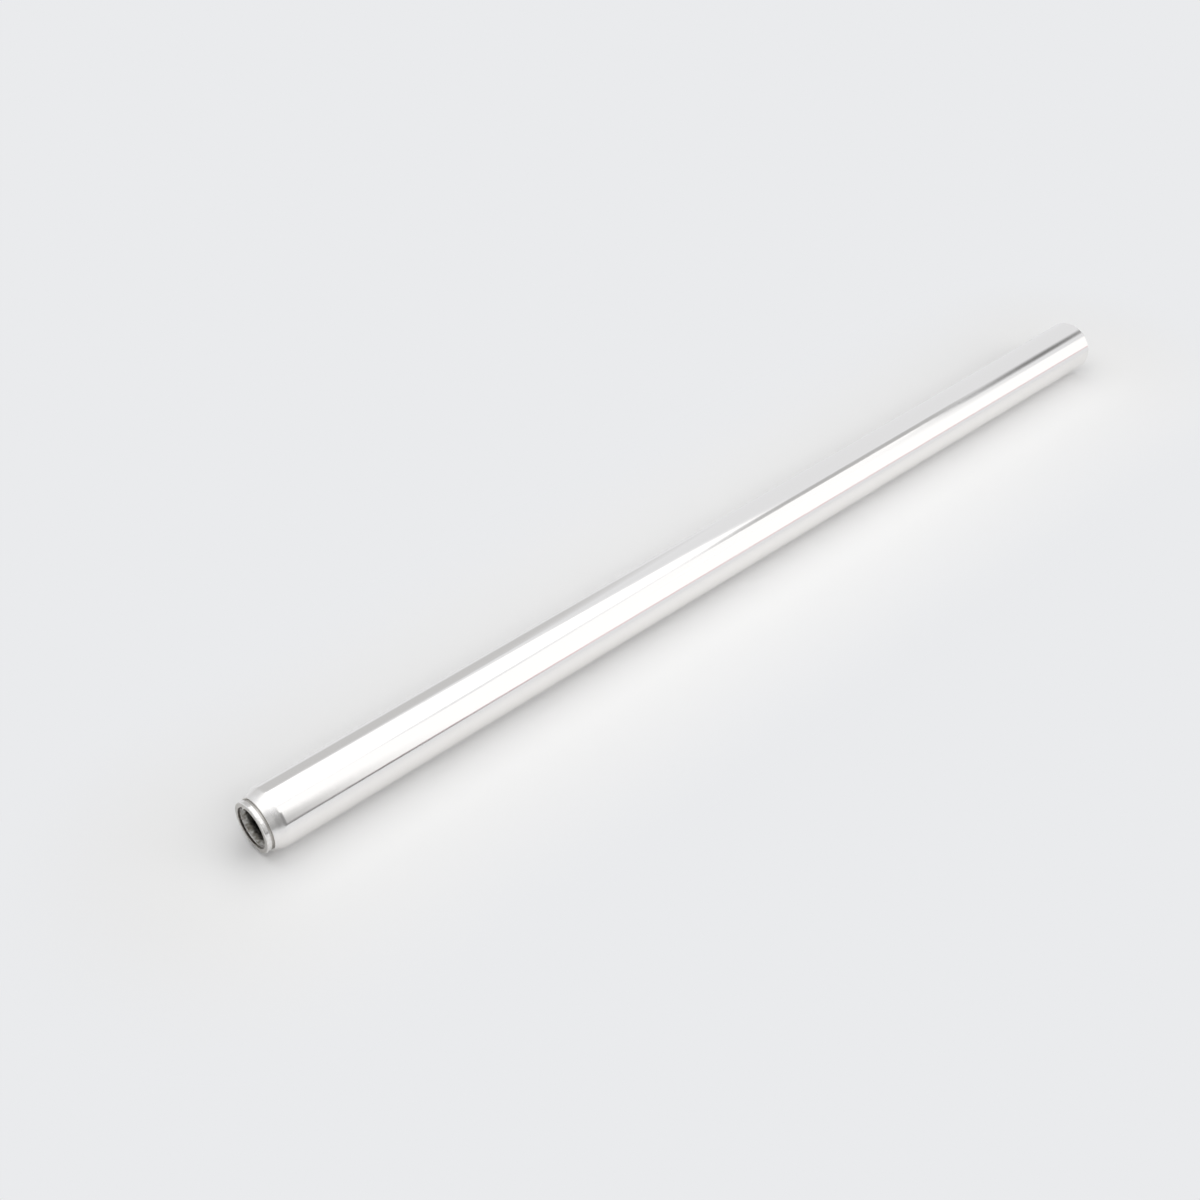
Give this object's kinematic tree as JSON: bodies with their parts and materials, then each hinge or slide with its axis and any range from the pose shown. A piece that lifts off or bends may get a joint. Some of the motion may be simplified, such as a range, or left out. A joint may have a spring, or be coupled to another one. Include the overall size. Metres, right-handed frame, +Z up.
{
  "type": "motorcycle fork tube",
  "caption": "Long straight hard-chromed steel fork tube with a necked lower end, a clip groove behind its collar and a plain open upper end.",
  "frame": {"origin": "on the ground, under the middle of the lying tube", "axes": "+X along the tube from its necked lower end to its plain upper end, +Z up, +Y across"},
  "size_m": [0.62, 0.031, 0.031],
  "materials": {
    "hard_chrome": "polished hard chrome over ground steel"
  },
  "bodies": {
    "root": {"fork_tube": "hard_chrome"}
  },
  "joints": []
}
